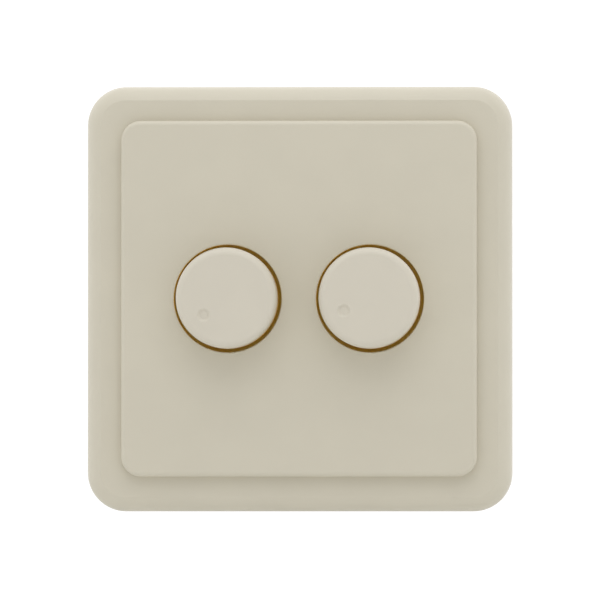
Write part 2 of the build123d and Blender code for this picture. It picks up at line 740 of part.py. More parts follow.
def fuse_clips():
    """Two sprung clips on the back of the board that hold the fuse by its caps."""
    width = 3.2
    jaw = bar_x(FUSE_CAP_R + 0.45, -width / 2, width / 2, FUSE_Y, FUSE_Z)
    jaw -= bar_x(FUSE_CAP_R + 0.02, -width / 2, width / 2, FUSE_Y, FUSE_Z)
    jaw -= block(width, 3.6, FUSE_Z - 4.0, FUSE_Z, 0, FUSE_Y)
    clip = jaw + block(width, 3.0, FUSE_Z + FUSE_CAP_R + 0.2, BOARD_BACK, 0, FUSE_Y)
    clip_x = FUSE_LENGTH / 2 - 2.0
    return group(Pos(-clip_x, 0, 0) * clip, Pos(clip_x, 0, 0) * clip)


# ---- terminals ---------------------------------------------------------------------------------------


def terminal_cage(x):
    """A square brass tube that the wire goes into, with the screw's thread in its back wall."""
    body = block(CAGE_WIDTH, CAGE_LENGTH, CAGE_BACK, CAGE_FRONT, x, TERMINAL_Y)
    hollow = (CAGE_BACK + CAGE_NUT, CAGE_FRONT - CAGE_ROOF)
    body -= block(CAGE_BORE, CAGE_LENGTH, *hollow, x, TERMINAL_Y)
    return body - disc(TERMINAL_SCREW_R + 0.03, CAGE_BACK, CAGE_BACK + CAGE_NUT, x, TERMINAL_Y)


def terminal_screw(x):
    low, high = TERMINAL_HEAD
    head = disc(TERMINAL_HEAD_R, low, high)
    head = chamfer(bottom_edges(head), 0.3)
    head -= cross_recess(1.7, low - 0.1, low + 1.0, 0.8)
    head -= block(2 * TERMINAL_HEAD_R, 0.7, low - 0.1, low + 0.8)
    return Pos(x, TERMINAL_Y, 0) * (head + disc(TERMINAL_SCREW_R, high, STRIP_BACK))


def terminal_strips():
    """The fixed brass strips that the wires are clamped against, each bent up to the board."""
    width, thickness = 3.6, 0.8
    tip_y, bend_y = -18.2, -9.2
    flat = block(width, bend_y - tip_y, STRIP_BACK, STRIP_FRONT, 0, (bend_y + tip_y) / 2)
    riser = block(width, thickness, STRIP_BACK, BOARD_BACK, 0, bend_y - thickness / 2)
    return group(*[Pos(x, 0, 0) * (flat + riser) for x in TERMINAL_X])


# ---- claws -------------------------------------------------------------------------------------------


def claw_saddle(inner_r, outer_r):
    """The half tube that lies behind the barrel nut, slotted for the screw."""
    width = 2 * CLAW_ARM_Y[1]
    slot = 2 * CLAW_ARM_Y[0]
    saddle = bar_y(outer_r, width, CLAW_X, CLAW_NUT_Z) - bar_y(inner_r, width, CLAW_X, CLAW_NUT_Z)
    saddle -= block(2 * outer_r, width, CLAW_NUT_Z, CLAW_NUT_Z + outer_r, CLAW_X)
    slot_depth = (CLAW_NUT_Z - outer_r - 1, CLAW_NUT_Z - 0.3)
    return saddle - block(2 * outer_r - 1.0, slot, *slot_depth, CLAW_X)


def claw_fang(root_x, half_width):
    """The outline of the pointed tab at the end of a claw's arm."""
    shoulder_x = CLAW_TIP_X - 1.2
    points = [
        (root_x, -half_width),
        (shoulder_x, -half_width),
        (CLAW_TIP_X, 0),
        (shoulder_x, half_width),
        (root_x, half_width),
    ]
    return make_face(Polyline(*points, close=True))


def claw():
    """The right-hand claw: a bent saddle over the barrel nut, with two arms that end in outward fangs."""
    inner_r = CLAW_NUT_R + 0.05
    outer_r = inner_r + CLAW_SHEET
    body = claw_saddle(inner_r, outer_r)
    near, far = CLAW_ARM_Y
    root_x = CLAW_X - outer_r
    tip_z = CLAW_NUT_Z + CLAW_ARM
    arm = block(CLAW_SHEET, far - near, CLAW_NUT_Z, tip_z, root_x + CLAW_SHEET / 2)
    fang = prism(claw_fang(root_x, (far - near) / 2), tip_z - CLAW_SHEET, tip_z)
    for sign in (-1, 1):
        body += Pos(0, sign * (near + far) / 2, 0) * (arm + fang)
    return body


def claw_nut():
    nut = bar_y(CLAW_NUT_R, CLAW_NUT_LENGTH, CLAW_X, CLAW_NUT_Z)
    return nut - disc(CLAW_SCREW_R + 0.03, CLAW_NUT_Z - 3, CLAW_NUT_Z + 3, CLAW_X)


def claw_screw():
    low, high = CLAW_HEAD
    head = disc(CLAW_HEAD_R, low, high)
    head = fillet(top_edges(head), 0.5)
    head -= cross_recess(1.5, high - 0.8, high + 0.1, 0.7)
    shank = disc(CLAW_SCREW_R, CLAW_SCREW_END, low)
    shank = chamfer(bottom_edges(shank), 0.4)
    return Pos(CLAW_X, 0, 0) * (head + shank)


# ---- trimmers ----------------------------------------------------------------------------------------


def trimmer_body():
    body = block(TRIMMER_SIZE, TRIMMER_SIZE, BOARD_FRONT, TRIMMER_TOP)
    return body - disc(TRIMMER_DISC_R + 0.1, TRIMMER_TOP - TRIMMER_DISC_HEIGHT, TRIMMER_TOP)


def trimmer_rotor():
    """The trimmer's adjuster: a disc in the body and a long slotted shaft through the ring."""
    body = disc(TRIMMER_DISC_R, TRIMMER_TOP - TRIMMER_DISC_HEIGHT, TRIMMER_TOP)
    body += disc(TRIMMER_SHAFT_R, TRIMMER_TOP, TRIMMER_TIP)
    return body - block(2 * TRIMMER_SHAFT_R, 0.6, TRIMMER_TIP - 0.8, TRIMMER_TIP)


# ---- assembly ----------------------------------------------------------------------------------------


def shared_nodes():
    """The nodes that serve both knobs."""
    trimmer_places = [Pos(0, sign * TRIMMER_Y, 0) for sign in SIDES.values()]
    lower, upper = trimmer_places
    return {
        "cover_frame": cover_frame(),
        "center_plate": center_plate(),
        "support_ring": support_ring(),
        "hex_nuts": hex_nuts(),
        "housing": housing(),
        "housing_screws": housing_screws(),
        "heat_sink": heat_sink(),
        "insulating_pads": insulating_pads(),
        "triac_bodies": triac_bodies(),
        "triac_leadframes": triac_leadframes(),
        "triac_screws": triac_screws(),
        "circuit_board": circuit_board(),
        "track_wafers": track_wafers(),
        "contact_pins": contact_pins(),
        "choke_cores": choke_pair(choke_core()),
        "choke_windings": choke_pair(choke_winding()),
        "film_capacitors": film_capacitors(),
        "electrolytic_capacitor": electrolytic_capacitor(),
        "resistors": resistors(),
        "fuse_glass": fuse_glass(),
        "fuse_caps": fuse_caps(),
        "fuse_clips": fuse_clips(),
        "terminal_strips": terminal_strips(),
        "trimmer_bodies": group(*[place * trimmer_body() for place in trimmer_places]),
        "trimmer_rotor_upper": upper * trimmer_rotor(),
        "trimmer_rotor_lower": lower * trimmer_rotor(),
    }


def side_nodes(side):
    """The nodes of one knob's side: its control's fixed parts, the parts that turn, and its claw."""
    axis = Pos(SIDES[side] * KNOB_PITCH / 2, 0, 0)
    dial = axis * Rot(0, 0, DOT_ANGLE[side])
    made = {}
    for make in (bushing, pot_body, switch_body, plunger, contact_bridge, return_spring):
        made[f"{make.__name__}_{side}"] = axis * make()
    for make in (knob, knob_clip, spindle, rotor, wiper):
        made[f"{make.__name__}_{side}"] = dial * make()
    for make in (claw, claw_nut, claw_screw):
        shape = make()
        made[f"{make.__name__}_{side}"] = mirror(shape, Plane.YZ) if side == "left" else shape
    return made


def nodes():
    """Every node's name and its shape, still lying on its back."""
    made = shared_nodes()
    for side in SIDES:
        made.update(side_nodes(side))
    for number, x in enumerate(TERMINAL_X, start=1):
        made[f"terminal_cage_{number}"] = terminal_cage(x)
        made[f"terminal_screw_{number}"] = terminal_screw(x)
    return made


def stand_up(shape):
    """Turns a shape from lying on its back to hanging on the wall: z out becomes -Y, y up becomes +Z."""
    return Rot(90, 0, 0) * shape


def main():
    os.makedirs("parts", exist_ok=True)
    for name, shape in nodes().items():
        export_step(stand_up(shape), f"parts/{name}.step")


main()
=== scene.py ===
"""Looks, light and camera for the flush-mounted rotary dimmer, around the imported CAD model.

Metres, in the row frame: +Z up, the front faces -Y, the wall plane is y = 0.
"""

import math

import bmesh
import bpy
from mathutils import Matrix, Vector

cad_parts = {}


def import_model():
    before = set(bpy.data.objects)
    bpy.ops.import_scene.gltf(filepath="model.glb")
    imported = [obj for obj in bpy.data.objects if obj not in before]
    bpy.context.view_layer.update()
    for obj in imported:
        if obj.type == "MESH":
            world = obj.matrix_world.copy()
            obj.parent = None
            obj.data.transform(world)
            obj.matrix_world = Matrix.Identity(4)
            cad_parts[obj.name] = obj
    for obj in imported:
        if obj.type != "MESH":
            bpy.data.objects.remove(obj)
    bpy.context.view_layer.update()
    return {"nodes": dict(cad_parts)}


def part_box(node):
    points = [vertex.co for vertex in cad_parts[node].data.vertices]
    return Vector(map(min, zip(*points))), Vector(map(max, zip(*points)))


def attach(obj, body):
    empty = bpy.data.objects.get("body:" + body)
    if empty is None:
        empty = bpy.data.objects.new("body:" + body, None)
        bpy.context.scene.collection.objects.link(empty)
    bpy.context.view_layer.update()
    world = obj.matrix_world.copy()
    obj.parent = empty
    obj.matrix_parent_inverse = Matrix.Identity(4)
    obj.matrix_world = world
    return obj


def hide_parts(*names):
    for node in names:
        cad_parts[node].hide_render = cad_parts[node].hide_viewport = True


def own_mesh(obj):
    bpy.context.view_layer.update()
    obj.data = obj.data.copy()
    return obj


MM = 0.001
SIDES = {"left": -1, "right": 1}

# Sizes that the looks share with the CAD model
FRAME_FACE = 8.5 * MM
PLATE_TOP = 11.0 * MM
KNOB_AXIS_X = 13.375 * MM
WELL_R = 10.12 * MM
BUSHING_R = 4.95 * MM
CLAW_X = 24.8 * MM
CLAW_SCREW_R = 1.25 * MM
TERMINAL_X = (-9.0 * MM, 0.0, 9.0 * MM)
TERMINAL_Z = -15.5 * MM
TERMINAL_SCREW_R = 1.75 * MM
HOUSING_BACK = 31.5 * MM
MARK_PANEL_Z = -7.0 * MM
MARK_PANEL_DEPTH = 0.3 * MM
CORE_CENTRES = ((-7.6 * MM, 15.2 * MM), (7.6 * MM, 15.2 * MM))
CORE_OUTER_R = 6.0 * MM
CORE_INNER_R = 3.4 * MM

# The painted amber bounce light and painted glow in the wells' shade: how far it reaches past a well's wall,
# and where it starts and is complete, both measured into the wall from the plate's face
WELL_MARGIN = 0.25 * MM
WELL_BOUNCE_START = 0.05 * MM
SKIRT_BOUNCE_START = -0.3 * MM
BOUNCE_COMPLETE = 0.8 * MM

# Threads: where each starts and ends along Y, its pitch and the height of its ridge
CLAW_THREAD = (0.6 * MM, 23.4 * MM, 0.5 * MM, 0.11 * MM)
BUSHING_THREAD = (-6.3 * MM, 1.1 * MM, 0.75 * MM, 0.08 * MM)
TERMINAL_THREAD = (24.3 * MM, 29.1 * MM, 0.7 * MM, 0.14 * MM)

# Wound parts: the springs, and the wire that covers most of each ring core
SPRING_WIRE_R = 0.25 * MM
SPRING_TURNS = 3.0
CHOKE_WIRE_R = 0.38 * MM
CHOKE_TURNS = 34
CHOKE_COVERED = math.radians(335)
STEPS_PER_LAP = 20

# Marks on the back: their line's width, and how far it stays below the face and sinks into the panel
MARK_WIDTH = 0.35 * MM
MARK_MARGIN = 0.05 * MM

# The picture's view: a long lens, a little to the right of the object's axis and below it, with its angles in
# degrees. VIEW_WIDTH is how much the picture takes in from side to side at CAMERA_AIM.
VIEW_WIDTH = 113.1 * MM
CAMERA_DISTANCE = 2.0
CAMERA_SIDE_ANGLE = 1.9
CAMERA_RISE_ANGLE = -1.0
CAMERA_AIM = (0.0, -FRAME_FACE / 2, -0.16 * MM)
SENSOR_WIDTH = 36.0

# The stage
FLOOR_HEIGHT = -61.0 * MM
FLOOR_HALF_WIDTH = 0.8
FLOOR_FRONT, FLOOR_BACK = -0.8, 0.12
CEILING_LIGHT_PLACE = (0, -0.3, 0.42)
CEILING_LIGHT_SIZE = 0.5
CEILING_LIGHT_POWER = 0.6

# The white room's strength: in front of the object, and around and behind it, low down and high up
FRONT_LOW_LIGHT, FRONT_HIGH_LIGHT = 0.42, 0.8
AROUND_LOW_LIGHT, AROUND_HIGH_LIGHT = 1.02, 1.2

# Where those strengths change, as the Z or Y of the direction towards the room's wall, from -1 to 1
FRONT_HEIGHTS = (-0.6, 0.8)
AROUND_HEIGHTS = (-0.5, 0.5)
FRONT_TO_AROUND = (-0.45, 0.15)


# ---- node building -----------------------------------------------------------------------------------


def plug(tree, source, target):
    """Joins a socket to another, or sets the target to a plain value."""
    if isinstance(source, bpy.types.NodeSocket):
        tree.links.new(source, target)
    else:
        target.default_value = source


def smooth_change(tree, value, low, high, out_low, out_high):
    """Smooth change from out_low to out_high as value goes from low to high."""
    node = tree.nodes.new("ShaderNodeMapRange")
    node.interpolation_type = "SMOOTHSTEP"
    plug(tree, value, node.inputs["Value"])
    plug(tree, low, node.inputs["From Min"])
    plug(tree, high, node.inputs["From Max"])
    plug(tree, out_low, node.inputs["To Min"])
    plug(tree, out_high, node.inputs["To Max"])
    return node.outputs["Result"]


class Shader:
    """A material under construction: its node tree, its Principled shader and short ways to add nodes."""

    def __init__(self, name, roughness=0.5, metallic=0.0):
        self.material = bpy.data.materials.new(name)
        self.material.use_nodes = True
        self.tree = self.material.node_tree
        self.bsdf = self.tree.nodes["Principled BSDF"]
        self.bsdf.inputs["Roughness"].default_value = roughness
        self.bsdf.inputs["Metallic"].default_value = metallic
        self.place = self.add("ShaderNodeTexCoord").outputs["Object"]

    def add(self, kind, **properties):
        node = self.tree.nodes.new(kind)
        for key, value in properties.items():
            setattr(node, key, value)
        return node

    def link(self, source, target):
        plug(self.tree, source, target)

    def math(self, operation, *values):
        node = self.add("ShaderNodeMath", operation=operation)
        for value, socket in zip(values, node.inputs):
            self.link(value, socket)
        return node.outputs[0]

    def stretched(self, scale):
        """The object's coordinates, scaled per axis."""
        node = self.add("ShaderNodeVectorMath", operation="MULTIPLY")
        self.link(self.place, node.inputs[0])
        node.inputs[1].default_value = scale
        return node.outputs[0]

    def noise(self, grain, detail=3.0, stretch=(1, 1, 1)):
        """Noise of about one feature per grain metres, between 0 and 1."""
        node = self.add("ShaderNodeTexNoise")
        node.inputs["Scale"].default_value = 1.0 / grain
        node.inputs["Detail"].default_value = detail
        self.link(self.stretched(stretch), node.inputs["Vector"])
        return node.outputs["Fac"]

    def ramp(self, value, low, high, out_low=0.0, out_high=1.0):
        return smooth_change(self.tree, value, low, high, out_low, out_high)

    def mix(self, share, first, second):
        """From the first colour to the second as share goes from 0 to 1; either may be a socket."""
        node = self.add("ShaderNodeMix", data_type="RGBA")
        self.link(share, node.inputs["Factor"])
        for color, socket in ((first, node.inputs["A"]), (second, node.inputs["B"])):
            self.link(color if isinstance(color, bpy.types.NodeSocket) else (*color, 1.0), socket)
        return node.outputs["Result"]

    def color(self, socket):
        self.link(socket, self.bsdf.inputs["Base Color"])

    def roughness(self, grain, low, high, stretch=(1, 1, 1)):
        """Uneven roughness between low and high, in patches of about grain metres."""
        value = self.ramp(self.noise(grain, stretch=stretch), 0.3, 0.7, low, high)
        self.link(value, self.bsdf.inputs["Roughness"])

    def bump(self, height, depth):
        """Relief of about depth metres from a height between 0 and 1."""
        node = self.add("ShaderNodeBump")
        node.inputs["Distance"].default_value = depth
        node.inputs["Strength"].default_value = 1.0
        self.link(height, node.inputs["Height"])
        self.link(node.outputs["Normal"], self.bsdf.inputs["Normal"])


# ---- materials ---------------------------------------------------------------------------------------


def cream_plastic(name, color, colour_change=None):
    """Satin-gloss cream moulding: a faint mottle in its colour, and a fine orange-peel skin."""
    mottle_grain, gloss_grain, skin_grain = 9 * MM, 1.5 * MM, 0.35 * MM
    skin_depth = 0.004 * MM
    shader = Shader(name)
    shader.bsdf.inputs["IOR"].default_value = PLASTIC_IOR
    darker = tuple(0.985 * c for c in color)
    mottle = shader.ramp(shader.noise(mottle_grain, detail=4), 0.35, 0.65)
    body = shader.mix(mottle, darker, color)
    # For the plate and the knobs this paints amber bounce light and a glow into the shade of the wells and
    # the skirts
    if colour_change:
        body = colour_change(shader, body)
    shader.color(body)
    shader.roughness(gloss_grain, 0.34, 0.42)
    shader.bump(shader.noise(skin_grain, detail=2), skin_depth)
    return shader.material


def paint_bounce_light(shader, body, depth):
    """Paints bounce light into the shade: the colour turns amber with depth, and a faint amber painted glow
    stands in for light coming through the wells' plastic.
    """
    shader.bsdf.inputs["Emission Color"].default_value = (*PAINTED_GLOW_COLOR, 1.0)
    glow = shader.math("MULTIPLY", depth, PAINTED_GLOW_STRENGTH)
    shader.link(glow, shader.bsdf.inputs["Emission Strength"])
    return shader.mix(depth, body, PAINTED_BOUNCE_AMBER)


def wells_painted_bounce(shader, body):
    """Painted amber bounce light and painted glow in the wells round the knobs, deepening below the plate's
    face.
    """
    parts = shader.add("ShaderNodeSeparateXYZ")
    shader.link(shader.place, parts.inputs[0])
    x = shader.math("SUBTRACT", shader.math("ABSOLUTE", parts.outputs["X"]), KNOB_AXIS_X)
    z = parts.outputs["Z"]
    squares = shader.math("ADD", shader.math("MULTIPLY", x, x), shader.math("MULTIPLY", z, z))
    inside = shader.math("LESS_THAN", shader.math("SQRT", squares), WELL_R + WELL_MARGIN)
    depth = shader.ramp(parts.outputs["Y"], -PLATE_TOP + WELL_BOUNCE_START, -PLATE_TOP + BOUNCE_COMPLETE)
    return paint_bounce_light(shader, body, shader.math("MULTIPLY", inside, depth))


def skirts_painted_bounce(shader, body):
    """Painted amber bounce light and painted glow on a knob's skirt, from the plate's face down."""
    parts = shader.add("ShaderNodeSeparateXYZ")
    shader.link(shader.place, parts.inputs[0])
    depth = shader.ramp(parts.outputs["Y"], -PLATE_TOP + SKIRT_BOUNCE_START, -PLATE_TOP + BOUNCE_COMPLETE)
    return paint_bounce_light(shader, body, depth)


def metal(name, color, low, high, grain=2 * MM, stretch=(1, 1, 1), relief=0.002 * MM):
    """Bare or plated metal with uneven shine, stretched along the direction it was rolled or drawn."""
    tarnish_grain = 4 * MM
    shader = Shader(name, metallic=1.0)
    dull = tuple(0.82 * c for c in color)
    shader.color(shader.mix(shader.noise(tarnish_grain, detail=5), dull, color))
    shader.roughness(grain, low, high, stretch)
    shader.bump(shader.noise(grain / 4, detail=2, stretch=stretch), relief)
    return shader.material


def moulded_plastic(name, color, roughness=0.55, grain=0.18 * MM, relief=0.012 * MM):
    """Technical moulding with a spark-eroded texture."""
    cloud_grain, gloss_grain = 5 * MM, 1 * MM
    unevenness = 0.08
    shader = Shader(name)
    lighter = tuple(min(1.0, 1.12 * c + 0.002) for c in color)
    clouds = shader.ramp(shader.noise(cloud_grain, detail=6), 0.3, 0.7)
    shader.color(shader.mix(clouds, color, lighter))
    shader.roughness(gloss_grain, roughness - unevenness, roughness + unevenness)
    shader.bump(shader.noise(grain, detail=3), relief)
    return shader.material


def laminate(name):
    """Paper-phenolic board: fine fibres, a little darker in streaks."""
    fibre_grain, gloss_grain = 0.5 * MM, 1 * MM
    fibre_depth = 0.01 * MM
    shader = Shader(name)
    fibre = shader.noise(fibre_grain, detail=5, stretch=(0.25, 1, 1))
    shader.color(shader.mix(shader.ramp(fibre, 0.3, 0.7), (0.30, 0.17, 0.06), (0.44, 0.28, 0.11)))
    shader.roughness(gloss_grain, 0.35, 0.5)
    shader.bump(fibre, fibre_depth)
    return shader.material


def glass(name):
    """Clear glass with hardly any colour of its own."""
    shader = Shader(name, roughness=0.02)
    shader.bsdf.inputs["Transmission Weight"].default_value = 1.0
    shader.bsdf.inputs["IOR"].default_value = GLASS_IOR
    colour_change = shader.ramp(shader.noise(6 * MM), 0.3, 0.7)
    shader.color(shader.mix(colour_change, (0.93, 0.96, 0.95), (0.98, 0.99, 0.99)))
    return shader.material


# Refractive indices, the colours of the plastics, the painted amber and painted glow of bounce light in the
# wells' shade, and the common metals
PLASTIC_IOR = 1.5
GLASS_IOR = 1.5
CREAM = (0.655, 0.612, 0.50)
PALE_CREAM = (0.675, 0.63, 0.53)
# Painted bounce light: the amber that the wells' shade is painted with, and the colour and strength of the
# painted glow
PAINTED_BOUNCE_AMBER = (1.0, 0.82, 0.2)
PAINTED_GLOW_COLOR = (0.9, 0.6, 0.05)
PAINTED_GLOW_STRENGTH = 0.016
ZINC = (0.62, 0.61, 0.56)
STEEL = (0.60, 0.60, 0.59)
BRASS = (0.68, 0.50, 0.22)


def materials():
    """Every material, and the CAD nodes that wear it."""
    rolled = (0.08, 1, 1)
    drawn = (1, 0.1, 1)
    return [
        (cream_plastic("cream_frame", CREAM), ["cover_frame"]),
        # The plate's wells and the knobs' skirts get painted amber bounce light and a painted glow in their
        # shade
        (cream_plastic("cream_plate", CREAM, wells_painted_bounce), ["center_plate"]),
        (cream_plastic("cream_knob", PALE_CREAM, skirts_painted_bounce), pair("knob")),
        (metal("zinc_sheet", ZINC, 0.28, 0.45, stretch=rolled), ["support_ring"]),
        (metal("nickel_nut", (0.64, 0.60, 0.53), 0.14, 0.24), ["hex_nuts"]),
        (metal("zinc_screw", ZINC, 0.25, 0.4), screws()),
        (moulded_plastic("black_housing", (0.022, 0.022, 0.024)), ["housing"]),
        (metal("mill_aluminium", (0.74, 0.75, 0.76), 0.3, 0.5, stretch=rolled), ["heat_sink"]),
        (moulded_plastic("silicone_pad", (0.36, 0.40, 0.42), 0.7), ["insulating_pads"]),
        (moulded_plastic("epoxy", (0.012, 0.012, 0.014), 0.45), ["triac_bodies"]),
        (metal("tinned_copper", (0.66, 0.65, 0.62), 0.3, 0.5), ["triac_leadframes", "contact_pins"]),
        (laminate("board_laminate"), ["circuit_board"]),
        (moulded_plastic("carbon_track", (0.10, 0.045, 0.02), 0.4), ["track_wafers"]),
        (moulded_plastic("core_paint", (0.62, 0.52, 0.12), 0.4), ["choke_cores"]),
        (metal("enamelled_copper", (0.62, 0.24, 0.09), 0.15, 0.3), ["choke_windings"]),
        (moulded_plastic("film_case", (0.60, 0.38, 0.03), 0.35), ["film_capacitors"]),
        (moulded_plastic("can_sleeve", (0.02, 0.03, 0.10), 0.3), ["electrolytic_capacitor"]),
        (moulded_plastic("resistor_lacquer", (0.48, 0.30, 0.13), 0.35), ["resistors"]),
        (glass("fuse_tube"), ["fuse_glass"]),
        (metal("nickel_cap", (0.66, 0.63, 0.57), 0.12, 0.25), ["fuse_caps", "fuse_clips"]),
        (metal("turned_brass", BRASS, 0.2, 0.35, stretch=drawn), pair("bushing")),
        (moulded_plastic("grey_case", (0.035, 0.042, 0.055)), grey_cases()),
        (metal("stamped_brass", (0.70, 0.55, 0.27), 0.22, 0.4), brass_parts()),
        (moulded_plastic("white_nylon", (0.72, 0.72, 0.66), 0.45), nylon_parts()),
        (moulded_plastic("black_nylon", (0.02, 0.02, 0.022), 0.4), pair("rotor")),
        (metal("spring_steel", STEEL, 0.18, 0.3), pair("return_spring") + pair("knob_clip") + pair("wiper")),
        (metal("turned_steel", (0.63, 0.61, 0.57), 0.16, 0.3, stretch=drawn), pair("spindle")),
        (metal("claw_steel", (0.60, 0.57, 0.47), 0.25, 0.42), pair("claw") + pair("claw_nut")),
    ]


def pair(name):
    """The names of the left and the right piece of a kind."""
    return [f"{name}_{side}" for side in SIDES]


def numbered(name):
    """The names of the three terminals' pieces of a kind."""
    return [f"{name}_{number}" for number in (1, 2, 3)]


def screws():
    return ["housing_screws", "triac_screws"] + pair("claw_screw") + numbered("terminal_screw")


def grey_cases():
    return pair("pot_body") + pair("switch_body") + ["trimmer_bodies"]


def brass_parts():
    return ["terminal_strips"] + numbered("terminal_cage") + pair("contact_bridge")


def nylon_parts():
    return pair("plunger") + ["trimmer_rotor_upper", "trimmer_rotor_lower"]


def dress(nodes):
    """Gives every CAD node its material, and returns the materials by name."""
    made = {}
    for material, names in materials():
        made[material.name.split(".")[0]] = material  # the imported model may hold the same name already
        for name in names:
            node = nodes[name]
            node.data.materials.clear()
            node.data.materials.append(material)
    return made


# ---- fine detail -------------------------------------------------------------------------------------


def add_mesh(name, material, corners, faces, smooth=True):
    """A closed mesh as a new object, its faces turned outwards."""
    mesh = bpy.data.meshes.new(name)
    mesh.from_pydata(corners, [], faces)
    shape = bmesh.new()
    shape.from_mesh(mesh)
    bmesh.ops.recalc_face_normals(shape, faces=shape.faces)
    shape.to_mesh(mesh)
    shape.free()
    mesh.materials.append(material)
    for face in mesh.polygons:
        face.use_smooth = smooth
    piece = bpy.data.objects.new(name, mesh)
    bpy.context.scene.collection.objects.link(piece)
    return piece


def swept(rings):
    """The corners and faces of a closed bar through a row of rings with equal numbers of corners."""
    sides = len(rings[0])
    corners = [corner for ring in rings for corner in ring]
    faces = []
    for step in range(len(rings) - 1):
        for side in range(sides):
            first = step * sides + side
            second = step * sides + (side + 1) % sides
            faces.append((first, second, second + sides, first + sides))
    faces.append(tuple(range(sides)))
    faces.append(tuple(range(len(corners) - sides, len(corners))))
    return corners, faces


def coil(axis, radius, start, end, turns, section, steps=24):
    """The rings of a bar wound round an axis along Y, from depth start to end.

    axis is that axis's (x, z), and section lists the corners of the bar's cross-section as (outwards, along)
    offsets.
    """
    rings = []
    count = round(turns * steps)
    for step in range(count + 1):
        angle = 2 * math.pi * step / steps
        along = start + (end - start) * step / count
        rings.append([
            (
                axis[0] + (radius + outwards) * math.cos(angle),
                along + offset,
                axis[1] + (radius + outwards) * math.sin(angle),
            )
            for outwards, offset in section
        ])
    return rings


def round_section(radius, sides=8):
    """The corners of a round wire's cross-section, as offsets from its middle."""
    angles = [2 * math.pi * side / sides for side in range(sides)]
    return [(radius * math.cos(angle), radius * math.sin(angle)) for angle in angles]


def thread(name, material, body, axis, radius, sizes):
    """A helical ridge on a round shank along Y, on the shank's body."""
    start, end, pitch, height = sizes
    root = -0.2 * height
    flank = 0.42 * pitch
    crest = 0.1 * flank
    section = [(root, -flank), (height, -crest), (height, crest), (root, flank)]
    rings = coil(axis, radius, start, end, (end - start) / pitch, section)
    piece = add_mesh(name, material, *swept(rings), smooth=False)
    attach(piece, body)


def threads(made):
    """The threads on the claw screws, the terminal screws and the bushings."""
    zinc = made["zinc_screw"]
    brass = made["turned_brass"]
    for side, sign in SIDES.items():
        screw = f"claw_screw_{side}"
        axis = (sign * CLAW_X, 0)
        thread(f"{screw}_thread", zinc, screw, axis, CLAW_SCREW_R, CLAW_THREAD)
        axis = (sign * KNOB_AXIS_X, 0)
        thread(f"bushing_{side}_thread", brass, "insert", axis, BUSHING_R, BUSHING_THREAD)
    for number, x in enumerate(TERMINAL_X, start=1):
        screw = f"terminal_screw_{number}"
        thread(f"{screw}_thread", zinc, screw, (x, TERMINAL_Z), TERMINAL_SCREW_R, TERMINAL_THREAD)


def return_springs(made):
    """The coil spring behind each plunger, in place of the tube that stands for it.
    """
    for side in SIDES:
        node = f"return_spring_{side}"
        low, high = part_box(node)
        axis = ((low[0] + high[0]) / 2, (low[2] + high[2]) / 2)
        radius = (high[0] - low[0]) / 2 - SPRING_WIRE_R
        start = low[1] + SPRING_WIRE_R
        end = high[1] - SPRING_WIRE_R
        rings = coil(axis, radius, start, end, SPRING_TURNS, round_section(SPRING_WIRE_R), steps=32)
        piece = add_mesh(f"coil_spring_{side}", made["spring_steel"], *swept(rings))
        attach(piece, "insert")
        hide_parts(node)
        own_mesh(piece)


def choke_windings(made):
    """Enamelled wire round each ring core, turn by turn, in place of the layer that stands for it."""
    low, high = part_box("choke_cores")
    middle_y = (low[1] + high[1]) / 2
    half_height = (high[1] - low[1]) / 2 + CHOKE_WIRE_R
    for number, centre in enumerate(CORE_CENTRES, start=1):
        path = winding_path(centre, middle_y, half_height)
        rings = tube_rings(path, CHOKE_WIRE_R, sides=6)
        piece = add_mesh(f"choke_{number}_wire", made["enamelled_copper"], *swept(rings))
        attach(piece, "insert")
        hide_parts("choke_windings")


def winding_path(centre, middle_y, half_height):
    """The wire's centre line: laps round the core's section, spread over most of the ring."""
    x, z = centre
    middle_r = (CORE_OUTER_R + CORE_INNER_R) / 2
    half_width = (CORE_OUTER_R - CORE_INNER_R) / 2 + CHOKE_WIRE_R
    count = CHOKE_TURNS * STEPS_PER_LAP
    path = []
    for step in range(count + 1):
        around = CHOKE_COVERED * step / count - math.pi / 2
        lap = 2 * math.pi * step / STEPS_PER_LAP
        r = middle_r + half_width * squared(math.cos(lap))
        y = middle_y + half_height * squared(math.sin(lap))
        path.append(Vector((x + r * math.cos(around), y, z + r * math.sin(around))))
    return path


def squared(value):
    """Bends a circle's coordinate towards a square with rounded corners."""
    squareness = 0.55
    return math.copysign(abs(value) ** squareness, value)


def tube_rings(path, radius, sides):
    """Rings of a round wire along a path of points. The guide keeps them from twisting."""
    rings = []
    guide = Vector((0.31, 0.42, 0.85))
    for index, point in enumerate(path):
        before = path[max(index - 1, 0)]
        after = path[min(index + 1, len(path) - 1)]
        ahead = (after - before).normalized()
        guide = (guide - guide.dot(ahead) * ahead).normalized()
        third = ahead.cross(guide)
        rings.append([point + a * guide + b * third for a, b in round_section(radius, sides)])
    return rings


def stroke(points, width, foot, top):
    """The rings of a raised line on the back: points are (x, z), foot and top its depths along Y."""
    rings = []
    for index, (x, z) in enumerate(points):
        before = points[max(index - 1, 0)]
        after = points[min(index + 1, len(points) - 1)]
        ahead = Vector((after[0] - before[0], after[1] - before[1])).normalized()
        side_x = -ahead.y * width / 2
        side_z = ahead.x * width / 2
        rings.append([
            (x - side_x, foot, z - side_z),
            (x + side_x, foot, z + side_z),
            (x + side_x, top, z + side_z),
            (x - side_x, top, z - side_z),
        ])
    return rings


def arc(centre, radius, start, end, count):
    """Points of an arc, with its angles in degrees."""
    angles = [math.radians(start + (end - start) * step / count) for step in range(count + 1)]
    return [(centre[0] + radius * math.cos(a), centre[1] + radius * math.sin(a)) for a in angles]


